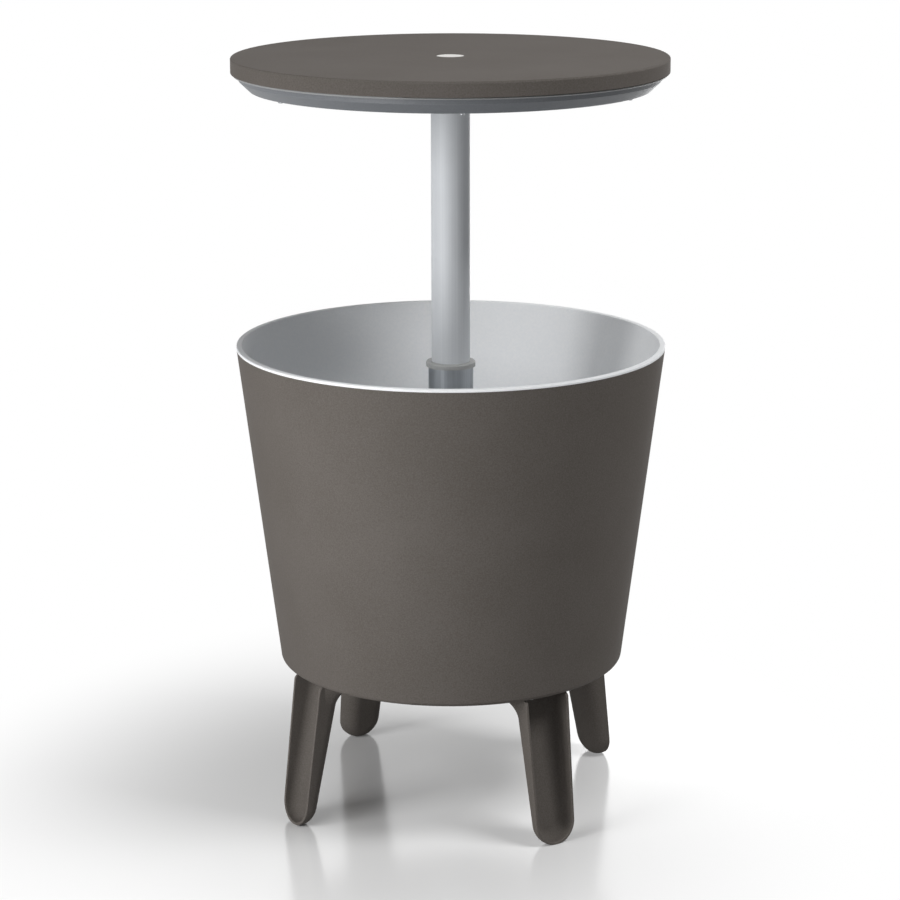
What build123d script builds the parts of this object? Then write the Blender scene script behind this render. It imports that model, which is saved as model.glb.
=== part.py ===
from build123d import *
import math
import os

# Cooler bar table with the table raised. Millimetres, +Z up, origin on the floor under the middle of the tub.

# Overall sizes
OPEN_HEIGHT = 875.0  # floor to table surface
TABLE_DIAMETER = 495.0
TABLE_OVERHANG = 0.5  # of the table past the tub's shell, all round
RIM_HEIGHT = 546.0  # floor to the top of the liner's rim
TUB_FLOOR_HEIGHT = 171.0  # floor to the underside of the tub

# Tub shell, wall measured level
SHELL_BOTTOM_DIAMETER = 401.2
SHELL_WALL = 3.2
SHELL_FLOOR = 3.6
SHELL_CORNER = 5.0
SHELL_LIP_ROUND = 0.6

# Liner, wall measured level
LINER_FLOOR_INSET = 40.6  # from the shell's lower edge to the edge of the liner's floor
LINER_WALL = 3.0
LINER_CORNER = 20.0
LINER_SIDE_GAP = 0.4  # between liner and shell at the rim
FLOOR_GAP = 47.0  # air space between the two floors
RIM_BEAD = 3.0  # height of the rim above the shell's edge
RIM_OVERHANG = 0.2
RIM_ROUND = 1.3
SPACER_WALL = 3.5  # tubes under the liner's floor that stand on the shell's floor

# Legs
LEG_COUNT = 4
LEG_START_ANGLE = 45.0
LEG_TOP_INSET = 2.6  # from the shell's lower edge to the lip
LEG_SPLAY = 21.5  # how far the lip leans out from the tub's floor to the ground
LEG_TIP_ROUND = 26.4  # half width at the foot
LEG_SIDE_TAPER = 1.2  # degrees
LEG_SIDE_DRAFT = 3.0  # degrees, from the lip to the back
LEG_TIP_DEPTH = 18.0
LEG_BACK_TAPER = 5.0  # degrees
LEG_BACK_STRAIGHT = 1.5  # of the foot's side, before it turns into the rounded back
LEG_WALL = 3.0
LEG_LIP_ROUND = 0.9
LEG_BROW_ROUND = 8.0  # where the lip turns in under the tub
LEG_PLATE = 3.0
LEG_PLATE_SETBACK = 10.0  # from the lip to the plate's front edge, between the leg's sides
LEG_FLARE = 29.0  # radius of the hollow curve that runs out under the tub at the leg's back
LEG_FLARE_START = 8.0  # degrees
LEG_FLARE_SWEEP = 70.0  # degrees
LEG_FLARE_STEPS = 4
LEG_FLARE_SETBACK = 6.0  # from the lip to where the sides begin to spread
LEG_FLARE_SINK = 0.3  # the curve starts just inside the leg's side
LEG_FOOT_CUT = 0.6  # flattened at the foot, so that it stands on a small face
LEG_SCREW_INSET = 17.0
LEG_SCREW_SPREAD = 22.0
LEG_BOSS_WALL = 3.0
LEG_BOSS_HEIGHT = 16.0

# Pole and its guide
POLE_DIAMETER = 44.5
POLE_WALL = 1.5
POLE_CLEARANCE = 0.1
GUIDE_WALL = 2.0
COLLAR_WALL = 1.6
COLLAR_LENGTH = 40.0
COLLAR_FLANGE = 6.0
COLLAR_OVERHANG = 2.5
COLLAR_ROUND = 2.0
COLLAR_HEADROOM = 5.9  # below the closed lid
FIT_CLEARANCE = 0.05  # between fixed pieces that are pushed together
STOP_GAP = 0.3
FOOT_CLEARANCE = 3.0  # below the pole's foot when the table is down

# Socket of the guide in the tub's floor
BASE_FLANGE_DIAMETER = 104.0
BASE_FLANGE = 4.0
BASE_WALL = 5.0
BASE_SOCKET_HEIGHT = 34.0
BASE_THREAD_LENGTH = 20.0
BASE_ROUND = 6.0
HOLE_CLEARANCE = 0.5
SEAL_THICKNESS = 2.0
SEAL_WIDTH = 12.0
GUIDE_NUT_DIAMETER = 92.0
GUIDE_NUT_HEIGHT = 13.0
GUIDE_NUT_SIDES = 8
NUT_CHAMFER = 1.5
END_PLUG_FLANGE = 3.0
END_PLUG_DEPTH = 9.0
END_PLUG_WALL = 2.5

# Twist lock at the pole's foot
FOOT_PLUG_LENGTH = 30.0
CAM_FLANGE = 4.0
CAM_FLANGE_CLEARANCE = 0.3
CAM_LOBE_INSET = 6.0  # from the guide's bore to the ends of the lobes
CAM_WIDTH = 24.0
CAM_HEIGHT = 22.0
LOBE_CLEARANCE = 0.3
SHOE_CLEARANCE = 0.2
SHOE_END_CLEARANCE = 0.3
SHOE_SPLIT = 5.0
BAND_SECTION = 1.8
BAND_GROOVE_DEPTH = 2.3
BAND_GROOVE_CLEARANCE = 0.1
CAM_WASHER = 2.5
CAM_WASHER_CLEARANCE = 1.5
CAM_SCREW_DIAMETER = 5.0
CAM_SCREW_HEAD_DIAMETER = 11.0
CAM_SCREW_HEAD = 3.5
CAM_SCREW_LENGTH = 18.0

# Table top
TABLE_EDGE = 17.0
TABLE_PLATE = 4.0
TABLE_SKIRT = 5.0
TABLE_TOP_ROUND = 1.8
TABLE_BOTTOM_ROUND = 0.8
RIB_COUNT = 12
RIB_WALL = 2.4
RIB_RING_DIAMETER = 260.0
HUB_WALL = 6.0
HUB_WEB = 5.5  # between the pole's end and the bolt's seat
CAP_DIAMETER = 31.4
CAP_THICKNESS = 3.0
CAP_RECESS = 0.2
CAP_CLEARANCE = 0.3
CAP_ROUND = 0.8
BOLT_DIAMETER = 8.0
BOLT_HEAD_ACROSS_CORNERS = 14.4
BOLT_HEAD = 5.0
BOLT_HEAD_SIDES = 6
BOLT_LENGTH = 38.0
BOLT_CLEARANCE = 0.2
WASHER_DIAMETER = 17.0
WASHER_THICKNESS = 1.5
TOP_PLUG_LENGTH = 34.0

# Pan under the table top, which is the tub's lid
LID_FLANGE = 2.5
LID_FLANGE_INSET = 2.5
LID_FLANGE_ROUND = 1.0
LID_SIDE_CLEARANCE = 0.6  # between the shoulder and the liner's mouth
LID_SHOULDER = 5.5
LID_TAPER = 13.0  # from the shoulder's top to the pan's underside, on each side
LID_DEPTH = 16.6  # from the flange to the pan's underside
LID_WALL = 3.0
LID_CORNER = 2.5
SEAT_GAP = 0.5  # between the pan's flange and the rim when the table is down
LID_SCREW_COUNT = 6
LID_SCREW_START_ANGLE = 45.0
LID_SCREW_INSET = 6.4  # from the edge of the pan's underside
LID_BOSS_DIAMETER = 8.0

# Small tapping screws of the lid and the legs
SCREW_DIAMETER = 3.0
SCREW_HEAD_DIAMETER = 5.4
SCREW_HEAD = 2.2
SCREW_HEAD_ROUND = 0.8
SCREW_LENGTH = 14.0
SCREW_CLEARANCE = 0.15
LEG_SCREW_DIAMETER = 4.0
LEG_SCREW_HEAD_DIAMETER = 8.0
LEG_SCREW_HEAD = 2.8
LEG_SCREW_LENGTH = 17.0

# Drain in the tub's floor, behind the pole
DRAIN_SETBACK = 16.0  # between the socket's flange and the drain's sump
DRAIN_BORE = 22.0
DRAIN_WALL = 5.0
DRAIN_FLANGE_DIAMETER = 48.0
DRAIN_FLANGE = 3.0
DRAIN_THREAD_LENGTH = 18.0
SUMP_DEPTH = 7.0
SUMP_MARGIN = 3.0
DRAIN_GASKET = 1.5
DRAIN_GASKET_WIDTH = 6.5
DRAIN_NUT_DIAMETER = 50.0
DRAIN_NUT_HEIGHT = 9.0
DRAIN_NUT_SIDES = 6
PLUG_CLEARANCE = 0.1
PLUG_STEM_LENGTH = 24.0
PLUG_HEAD_DIAMETER = 38.0
PLUG_HEAD = 6.0
PLUG_HEAD_GAP = 0.2
PLUG_HEAD_ROUND = 1.5
PLUG_GRIP_HEIGHT = 14.0
PLUG_GRIP_WIDTH = 26.0
PLUG_GRIP_THICKNESS = 6.0
PLUG_GRIP_ROUND = 2.0
PLUG_RING_SECTION = 2.0
PLUG_RING_INSET = 8.0
PLUG_RING_CLEARANCE = 0.05

# Radii and heights worked out from the sizes above
table_r = TABLE_DIAMETER / 2
shell_top_r = table_r - TABLE_OVERHANG
shell_bottom_r = SHELL_BOTTOM_DIAMETER / 2
shell_top_z = RIM_HEIGHT - RIM_BEAD
shell_floor_z = TUB_FLOOR_HEIGHT + SHELL_FLOOR
shell_slope = (shell_top_r - shell_bottom_r) / (shell_top_z - TUB_FLOOR_HEIGHT)
liner_under_z = shell_floor_z + FLOOR_GAP
liner_floor_z = liner_under_z + LINER_WALL
liner_floor_r = shell_bottom_r - LINER_FLOOR_INSET
liner_mouth_r = shell_top_r - SHELL_WALL - LINER_SIDE_GAP - LINER_WALL
liner_slope = (liner_mouth_r - liner_floor_r) / (RIM_HEIGHT - liner_floor_z)
rim_r = shell_top_r + RIM_OVERHANG

lid_seat_z = OPEN_HEIGHT - TABLE_EDGE - LID_FLANGE
lid_bottom_z = lid_seat_z - LID_DEPTH
lid_floor_z = lid_bottom_z + LID_WALL
lid_flange_r = table_r - LID_FLANGE_INSET
lid_shoulder_r = liner_mouth_r - LID_SIDE_CLEARANCE
lid_shoulder_low_r = lid_shoulder_r - liner_slope * LID_SHOULDER
lid_bottom_r = lid_shoulder_r - LID_TAPER
lid_screw_r = lid_bottom_r - LID_SCREW_INSET
lift_travel = lid_seat_z - RIM_HEIGHT - SEAT_GAP

pole_r = POLE_DIAMETER / 2
pole_bore_r = pole_r - POLE_WALL
guide_bore_r = pole_r + POLE_CLEARANCE + COLLAR_WALL + FIT_CLEARANCE
guide_r = guide_bore_r + GUIDE_WALL
cam_lobe_r = guide_bore_r - CAM_LOBE_INSET
collar_top_z = lid_bottom_z - lift_travel - COLLAR_HEADROOM
guide_top_z = collar_top_z - COLLAR_FLANGE
collar_bottom_z = guide_top_z - COLLAR_LENGTH
pole_foot_z = collar_bottom_z - STOP_GAP
cam_top_z = pole_foot_z - CAM_FLANGE
cam_bottom_z = cam_top_z - CAM_HEIGHT
cam_washer_z = cam_bottom_z - CAM_WASHER
lock_bottom_z = cam_washer_z - CAM_SCREW_HEAD
base_r = guide_r + BASE_WALL
base_bottom_z = TUB_FLOOR_HEIGHT - BASE_THREAD_LENGTH
base_flange_z = liner_floor_z + SEAL_THICKNESS
plug_top_z = lock_bottom_z - lift_travel - FOOT_CLEARANCE
guide_bottom_z = min(base_bottom_z, plug_top_z - END_PLUG_DEPTH)

cap_top_z = OPEN_HEIGHT - CAP_RECESS
cap_r = CAP_DIAMETER / 2
cap_seat_z = cap_top_z - CAP_THICKNESS
bolt_seat_z = cap_seat_z - BOLT_HEAD - WASHER_THICKNESS - STOP_GAP
pole_top_z = bolt_seat_z - HUB_WEB
hub_r = pole_r + HUB_WALL
table_under_z = OPEN_HEIGHT - TABLE_PLATE
table_edge_z = OPEN_HEIGHT - TABLE_EDGE

drain_bore_r = DRAIN_BORE / 2
drain_r = drain_bore_r + DRAIN_WALL
drain_flange_r = DRAIN_FLANGE_DIAMETER / 2
sump_r = drain_flange_r + SUMP_MARGIN
sump_z = liner_floor_z - SUMP_DEPTH
sump_under_z = sump_z - LINER_WALL
drain_flange_z = sump_z + DRAIN_GASKET
drain_bottom_z = TUB_FLOOR_HEIGHT - DRAIN_THREAD_LENGTH
drain_offset = BASE_FLANGE_DIAMETER / 2 + DRAIN_SETBACK + sump_r
drain_place = (0, drain_offset)
plug_head_z = drain_bottom_z - PLUG_HEAD_GAP
plug_stem_r = drain_bore_r - PLUG_CLEARANCE

leg_angles = {
    "leg_rear_right": LEG_START_ANGLE,
    "leg_rear_left": LEG_START_ANGLE + 360 / LEG_COUNT,
    "leg_front_left": LEG_START_ANGLE + 2 * 360 / LEG_COUNT,
    "leg_front_right": LEG_START_ANGLE + 3 * 360 / LEG_COUNT,
}
leg_top_r = shell_bottom_r - LEG_TOP_INSET
leg_foot_r = leg_top_r + LEG_SPLAY
leg_back_round = LEG_TIP_DEPTH - LEG_BACK_STRAIGHT
leg_lean = math.atan2(LEG_SPLAY, TUB_FLOOR_HEIGHT)
leg_screw_x = leg_top_r - LEG_SCREW_INSET
leg_screw_r = math.hypot(leg_screw_x, LEG_SCREW_SPREAD / 2)
leg_screw_turn = math.degrees(math.atan2(LEG_SCREW_SPREAD / 2, leg_screw_x))
leg_plate_z = TUB_FLOOR_HEIGHT - LEG_PLATE

os.makedirs("parts", exist_ok=True)


def write(piece, name):
    """Label one piece and write it to its own file."""
    piece.label = name
    export_step(piece, f"parts/{name}.step")


def polar_places(radius, count, start_angle):
    """Return points spaced evenly round the tub's axis."""
    angles = [math.radians(start_angle + 360 / count * i) for i in range(count)]
    return [(radius * math.cos(a), radius * math.sin(a)) for a in angles]


def pan_head_screws(places, seat_z, shank_r, head_r, head, length):
    """Return screws driven upwards, with their heads under the level seat_z."""
    with BuildPart() as screws:
        with BuildSketch(Plane.XY.offset(seat_z - head)):
            with Locations(*places):
                Circle(head_r)
        extrude(amount=head)
        fillet(screws.edges().group_by(Axis.Z)[0], radius=SCREW_HEAD_ROUND)
        with BuildSketch(Plane.XY.offset(seat_z)):
            with Locations(*places):
                Circle(shank_r)
        extrude(amount=length)
    return screws.part


lid_screw_places = polar_places(lid_screw_r, LID_SCREW_COUNT, LID_SCREW_START_ANGLE)
leg_screw_places = [
    place
    for turn in (-leg_screw_turn, leg_screw_turn)
    for place in polar_places(leg_screw_r, LEG_COUNT, LEG_START_ANGLE + turn)
]

# Outer shell of the tub: tapered wall, flat floor with holes for the guide and the drain, leg screw bosses
with BuildPart() as outer_shell:
    with BuildSketch(Plane.XZ) as shell_profile:
        with BuildLine():
            Polyline(
                (base_r + HOLE_CLEARANCE, TUB_FLOOR_HEIGHT),
                (shell_bottom_r, TUB_FLOOR_HEIGHT),
                (shell_top_r, shell_top_z),
                (shell_top_r - SHELL_WALL, shell_top_z),
                (shell_bottom_r - SHELL_WALL + shell_slope * SHELL_FLOOR, shell_floor_z),
                (base_r + HOLE_CLEARANCE, shell_floor_z),
                close=True,
            )
        make_face()
        low_corners = shell_profile.vertices().sort_by_distance((shell_bottom_r, TUB_FLOOR_HEIGHT))[:2]
        fillet(low_corners.sort_by(Axis.X)[-1], radius=SHELL_CORNER)
        fillet(low_corners.sort_by(Axis.X)[0], radius=SHELL_CORNER - SHELL_WALL)
        lip_corners = shell_profile.vertices().group_by(Axis.Y)[-1]
        fillet(lip_corners.sort_by(Axis.X)[-1], radius=SHELL_LIP_ROUND)
    revolve(axis=Axis.Z)
    with BuildSketch(Plane.XY.offset(shell_floor_z)):
        with Locations(*leg_screw_places):
            Circle(LEG_SCREW_DIAMETER / 2 + LEG_BOSS_WALL)
    extrude(amount=LEG_BOSS_HEIGHT)
    with BuildSketch(Plane.XY.offset(TUB_FLOOR_HEIGHT)):
        with Locations(*leg_screw_places):
            Circle(LEG_SCREW_DIAMETER / 2 + SCREW_CLEARANCE)
        with Locations(drain_place):
            Circle(drain_r + HOLE_CLEARANCE)
    extrude(amount=SHELL_FLOOR + LEG_BOSS_HEIGHT, mode=Mode.SUBTRACT)
write(outer_shell.part, "outer_shell")

# Inner liner: bucket with a rim that laps the shell's edge, and spacer tubes that stand on the shell's floor
with BuildPart() as inner_liner:
    with BuildSketch(Plane.XZ) as liner_profile:
        with BuildLine():
            Polyline(
                (base_r + HOLE_CLEARANCE, liner_floor_z),
                (liner_floor_r, liner_floor_z),
                (liner_mouth_r, RIM_HEIGHT),
                (rim_r, RIM_HEIGHT),
                (rim_r, shell_top_z),
                (liner_mouth_r + LINER_WALL - liner_slope * RIM_BEAD, shell_top_z),
                (liner_floor_r + LINER_WALL - liner_slope * LINER_WALL, liner_under_z),
                (base_r + HOLE_CLEARANCE, liner_under_z),
                close=True,
            )
        make_face()
        floor_corners = liner_profile.vertices().sort_by_distance((liner_floor_r, liner_floor_z))[:2]
        fillet(floor_corners.sort_by(Axis.Y)[-1], radius=LINER_CORNER)
        fillet(floor_corners.sort_by(Axis.Y)[0], radius=LINER_CORNER + LINER_WALL)
        rim_corners = liner_profile.vertices().group_by(Axis.Y)[-1]
        fillet(rim_corners, radius=RIM_ROUND)
    revolve(axis=Axis.Z)
    with BuildSketch(Plane.XY.offset(sump_under_z)):
        with Locations(drain_place):
            Circle(sump_r + LINER_WALL)
    extrude(amount=liner_floor_z - sump_under_z)
    with BuildSketch(Plane.XY.offset(shell_floor_z)):
        Circle(base_r + HOLE_CLEARANCE + SPACER_WALL)
        with Locations(drain_place):
            Circle(drain_r + HOLE_CLEARANCE + SPACER_WALL)
    extrude(amount=sump_under_z - shell_floor_z)
    with BuildSketch(Plane.XY.offset(sump_under_z)):
        Circle(base_r + HOLE_CLEARANCE + SPACER_WALL)
    extrude(amount=liner_under_z - sump_under_z)
    with BuildSketch(Plane.XY.offset(sump_z)):
        with Locations(drain_place):
            Circle(sump_r)
    extrude(amount=SUMP_DEPTH, mode=Mode.SUBTRACT)
    with BuildSketch(Plane.XY.offset(shell_floor_z)):
        Circle(base_r + HOLE_CLEARANCE)
        with Locations(drain_place):
            Circle(drain_r + HOLE_CLEARANCE)
    extrude(amount=liner_floor_z - shell_floor_z, mode=Mode.SUBTRACT)
write(inner_liner.part, "inner_liner")

# Legs: half-pipe scoops that lean outwards, open to the outside, with a flared plate under the tub's floor
lip_plane = Plane(
    origin=(leg_foot_r, 0, -LEG_FOOT_CUT),
    x_dir=(0, 1, 0),
    z_dir=(math.cos(leg_lean), 0, math.sin(leg_lean)),
)
leg_length = (TUB_FLOOR_HEIGHT + LEG_TIP_ROUND) / math.cos(leg_lean)


def leg_tongue(inset, reach, top_z):
    """Return the leg's outer form drawn in by inset, from reach outside the lip plane, up to top_z."""
    turn = math.radians(LEG_SIDE_TAPER)
    tip_r = LEG_TIP_ROUND - inset
    side_x = tip_r * math.cos(turn)
    side_y = LEG_TIP_ROUND - tip_r * math.sin(turn)
    top_x = side_x + (leg_length - side_y) * math.tan(turn)
    back_depth = LEG_TIP_DEPTH - inset
    back_rise = math.tan(math.radians(LEG_BACK_TAPER))
    far = back_depth + leg_length * back_rise
    with BuildPart() as tongue:
        with BuildSketch(lip_plane.offset(reach)):
            with BuildLine():
                Polyline((side_x, side_y), (top_x, leg_length), (-top_x, leg_length), (-side_x, side_y))
                ThreePointArc((-side_x, side_y), (0, LEG_TIP_ROUND - tip_r), (side_x, side_y))
            make_face()
        extrude(amount=-(reach + far), taper=LEG_SIDE_DRAFT)
        back = Plane(
            origin=lip_plane.from_local_coords((0, 0, -back_depth)),
            x_dir=lip_plane.x_dir,
            z_dir=lip_plane.z_dir + lip_plane.y_dir * back_rise,
        )
        split(bisect_by=back, keep=Keep.TOP)
        back_face = tongue.faces().sort_by(Axis((0, 0, 0), back.z_dir))[0]
        fillet(back_face.edges().sort_by(Axis.Z)[:-1], radius=leg_back_round - inset)
        split(bisect_by=Plane.XY.offset(top_z), keep=Keep.BOTTOM)
    return tongue.part


def leg_lip_x(z):
    """Return how far from the tub's axis the leg's lip lies at height z."""
    return leg_foot_r - (z + LEG_FOOT_CUT) * math.tan(leg_lean)


plate_front = Plane(origin=(leg_lip_x(leg_plate_z) - LEG_PLATE_SETBACK, 0, 0), z_dir=(1, 0, 0))
with BuildPart() as scoop:
    add(leg_tongue(LEG_WALL, LEG_WALL, TUB_FLOOR_HEIGHT))
    split(bisect_by=plate_front, keep=Keep.TOP)
    add(leg_tongue(LEG_WALL, LEG_WALL, leg_plate_z))


def leg_back_x(z):
    """Return how far from the tub's axis the leg's back lies at height z."""
    rise = math.tan(math.radians(LEG_BACK_TAPER))
    lean_sin, lean_cos = math.sin(leg_lean), math.cos(leg_lean)
    along = (z + LEG_FOOT_CUT + LEG_TIP_DEPTH * lean_sin) / (lean_cos - rise * lean_sin)
    return leg_foot_r - along * lean_sin - (LEG_TIP_DEPTH + along * rise) * lean_cos


def leg_flare_outline(z, grow):
    """Return the leg's level outline at height z, spread by grow at the back and open past the lip."""
    draft = math.tan(math.radians(LEG_SIDE_DRAFT))
    depth = leg_lip_x(z) - leg_back_x(z)
    half = LEG_TIP_ROUND + (z - LEG_TIP_ROUND) * math.tan(math.radians(LEG_SIDE_TAPER)) - LEG_FLARE_SINK
    spread_half = half - LEG_FLARE_SETBACK * draft
    back_half = half - depth * draft + grow
    spread_x = leg_lip_x(z) - LEG_FLARE_SETBACK
    back_x = leg_back_x(z) + LEG_FLARE_SINK - grow
    with BuildSketch(Plane.XY.offset(z)) as outline:
        with BuildLine():
            Polyline(
                (leg_foot_r, half),
                (spread_x, spread_half),
                (back_x, back_half),
                (back_x, -back_half),
                (spread_x, -spread_half),
                (leg_foot_r, -half),
                close=True,
            )
        make_face()
        fillet(outline.vertices().group_by(Axis.X)[0], radius=leg_back_round)
    return outline.sketch


flare_turns = [LEG_FLARE_START + LEG_FLARE_SWEEP * i / LEG_FLARE_STEPS for i in range(LEG_FLARE_STEPS + 1)]
flare_steps = [math.radians(turn) for turn in flare_turns]
flare_low_z = leg_plate_z - LEG_FLARE * math.sin(flare_steps[-1])
with BuildPart() as leg:
    add(leg_tongue(0, 0, TUB_FLOOR_HEIGHT))
    for step in flare_steps:
        flare_grow = LEG_FLARE * (1 - math.cos(step))
        add(leg_flare_outline(flare_low_z + LEG_FLARE * math.sin(step), flare_grow))
    loft()
    add(leg_flare_outline(leg_plate_z, flare_grow))
    extrude(amount=LEG_PLATE, dir=(0, 0, 1))
    split(bisect_by=lip_plane, keep=Keep.BOTTOM)
    add(scoop.part, mode=Mode.SUBTRACT)
    lip_face = leg.faces().sort_by(Axis((0, 0, 0), lip_plane.z_dir))[-1]
    fillet(lip_face.edges().filter_by(lambda edge: edge.center().Z < leg_plate_z), radius=LEG_LIP_ROUND)
    with BuildSketch(Plane.XZ) as side_view:
        with BuildLine():
            Polyline(
                (0, 0),
                (0, TUB_FLOOR_HEIGHT),
                (leg_lip_x(TUB_FLOOR_HEIGHT), TUB_FLOOR_HEIGHT),
                (leg_lip_x(0), 0),
                close=True,
            )
        make_face()
        fillet(side_view.vertices().group_by(Axis.Y)[-1].sort_by(Axis.X)[-1], radius=LEG_BROW_ROUND)
    extrude(amount=leg_foot_r, both=True, mode=Mode.INTERSECT)
    with BuildSketch(Plane.XY.offset(leg_plate_z)):
        with Locations((leg_screw_x, LEG_SCREW_SPREAD / 2), (leg_screw_x, -LEG_SCREW_SPREAD / 2)):
            Circle(LEG_SCREW_DIAMETER / 2 + SCREW_CLEARANCE)
    extrude(amount=LEG_PLATE, mode=Mode.SUBTRACT)
for leg_name, leg_angle in leg_angles.items():
    with BuildPart() as placed_leg:
        add(leg.part, rotation=(0, 0, leg_angle))
    write(placed_leg.part, leg_name)

leg_screws = pan_head_screws(
    leg_screw_places,
    leg_plate_z,
    LEG_SCREW_DIAMETER / 2,
    LEG_SCREW_HEAD_DIAMETER / 2,
    LEG_SCREW_HEAD,
    LEG_SCREW_LENGTH,
)
write(leg_screws, "leg_screws")

# Guide tube, standing in the middle of the tub
with BuildPart() as guide_tube:
    with BuildSketch(Plane.XY.offset(guide_bottom_z)):
        Circle(guide_r)
        Circle(guide_bore_r, mode=Mode.SUBTRACT)
    extrude(amount=guide_top_z - guide_bottom_z)
write(guide_tube.part, "guide_tube")

# Collar: plastic bush in the top of the guide tube, in which the pole slides and turns
with BuildPart() as guide_collar:
    with BuildSketch(Plane.XY.offset(collar_bottom_z)):
        Circle(guide_bore_r - FIT_CLEARANCE)
    extrude(amount=COLLAR_LENGTH)
    with BuildSketch(Plane.XY.offset(guide_top_z)):
        Circle(guide_r + COLLAR_OVERHANG)
    extrude(amount=COLLAR_FLANGE)
    fillet(guide_collar.edges().group_by(Axis.Z)[-1], radius=COLLAR_ROUND)
    with BuildSketch(Plane.XY.offset(collar_bottom_z)):
        Circle(pole_r + POLE_CLEARANCE)
    extrude(amount=COLLAR_LENGTH + COLLAR_FLANGE, mode=Mode.SUBTRACT)
write(guide_collar.part, "guide_collar")

# Base: flanged socket that holds the guide tube and passes through both floors
base_top_z = base_flange_z + BASE_SOCKET_HEIGHT
with BuildPart() as guide_base:
    with BuildSketch(Plane.XZ) as base_profile:
        with BuildLine():
            Polyline(
                (guide_r + FIT_CLEARANCE, base_bottom_z),
                (base_r, base_bottom_z),
                (base_r, base_flange_z),
                (BASE_FLANGE_DIAMETER / 2, base_flange_z),
                (BASE_FLANGE_DIAMETER / 2, base_flange_z + BASE_FLANGE),
                (base_r, base_flange_z + BASE_FLANGE),
                (base_r, base_top_z),
                (guide_r + FIT_CLEARANCE, base_top_z),
                close=True,
            )
        make_face()
        root_corner = base_profile.vertices().sort_by_distance((base_r, base_flange_z + BASE_FLANGE))[0]
        fillet(root_corner, radius=BASE_ROUND)
        edge_corner = base_profile.vertices().sort_by_distance((BASE_FLANGE_DIAMETER / 2, base_top_z))[0]
        fillet(edge_corner, radius=BASE_FLANGE / 2)
        top_corner = base_profile.vertices().sort_by_distance((base_r, base_top_z))[0]
        fillet(top_corner, radius=BASE_WALL / 2)
    revolve(axis=Axis.Z)
write(guide_base.part, "guide_base")

# Flat seal between the base's flange and the liner's floor
with BuildPart() as guide_seal:
    with BuildSketch(Plane.XY.offset(liner_floor_z)):
        Circle(base_r + HOLE_CLEARANCE + SEAL_WIDTH)
        Circle(base_r + HOLE_CLEARANCE, mode=Mode.SUBTRACT)
    extrude(amount=SEAL_THICKNESS)
write(guide_seal.part, "guide_seal")

# Nut under the tub that clamps the base through both floors
with BuildPart() as guide_nut:
    with BuildSketch(Plane.XY.offset(TUB_FLOOR_HEIGHT - GUIDE_NUT_HEIGHT)):
        RegularPolygon(GUIDE_NUT_DIAMETER / 2, GUIDE_NUT_SIDES)
    extrude(amount=GUIDE_NUT_HEIGHT)
    chamfer(guide_nut.edges().group_by(Axis.Z)[0], length=NUT_CHAMFER)
    with BuildSketch(Plane.XY.offset(TUB_FLOOR_HEIGHT - GUIDE_NUT_HEIGHT)):
        Circle(base_r + FIT_CLEARANCE)
    extrude(amount=GUIDE_NUT_HEIGHT, mode=Mode.SUBTRACT)
write(guide_nut.part, "guide_nut")

# Plug that closes the guide tube's lower end
with BuildPart() as guide_end_plug:
    with BuildSketch(Plane.XY.offset(guide_bottom_z - END_PLUG_FLANGE)):
        Circle(guide_r)
    extrude(amount=END_PLUG_FLANGE)
    fillet(guide_end_plug.edges().group_by(Axis.Z)[0], radius=END_PLUG_FLANGE / 2)
    with BuildSketch(Plane.XY.offset(guide_bottom_z)):
        Circle(guide_bore_r - FIT_CLEARANCE)
        Circle(guide_bore_r - FIT_CLEARANCE - END_PLUG_WALL, mode=Mode.SUBTRACT)
    extrude(amount=END_PLUG_DEPTH - END_PLUG_FLANGE)
write(guide_end_plug.part, "guide_end_plug")

# Pole: the tube that carries the table
with BuildPart() as pole:
    with BuildSketch(Plane.XY.offset(pole_foot_z)):
        Circle(pole_r)
        Circle(pole_bore_r, mode=Mode.SUBTRACT)
    extrude(amount=pole_top_z - pole_foot_z)
write(pole.part, "pole")

# Lock cam: plug in the pole's foot, with a flange that stops it under the collar and a two-lobed cam below
with BuildPart() as lock_cam:
    with BuildSketch(Plane.XY.offset(pole_foot_z)):
        Circle(pole_bore_r - FIT_CLEARANCE)
    extrude(amount=FOOT_PLUG_LENGTH)
    with BuildSketch(Plane.XY.offset(cam_top_z)):
        Circle(guide_bore_r - CAM_FLANGE_CLEARANCE)
    extrude(amount=CAM_FLANGE)
    with BuildSketch(Plane.XY.offset(cam_bottom_z)):
        Circle(cam_lobe_r)
        Rectangle(2 * cam_lobe_r, CAM_WIDTH, mode=Mode.INTERSECT)
    extrude(amount=CAM_HEIGHT)
    with BuildSketch(Plane.XY.offset(cam_bottom_z)):
        Circle(CAM_SCREW_DIAMETER / 2 + FIT_CLEARANCE)
    extrude(amount=CAM_SCREW_LENGTH, mode=Mode.SUBTRACT)
write(lock_cam.part, "lock_cam")

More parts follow.
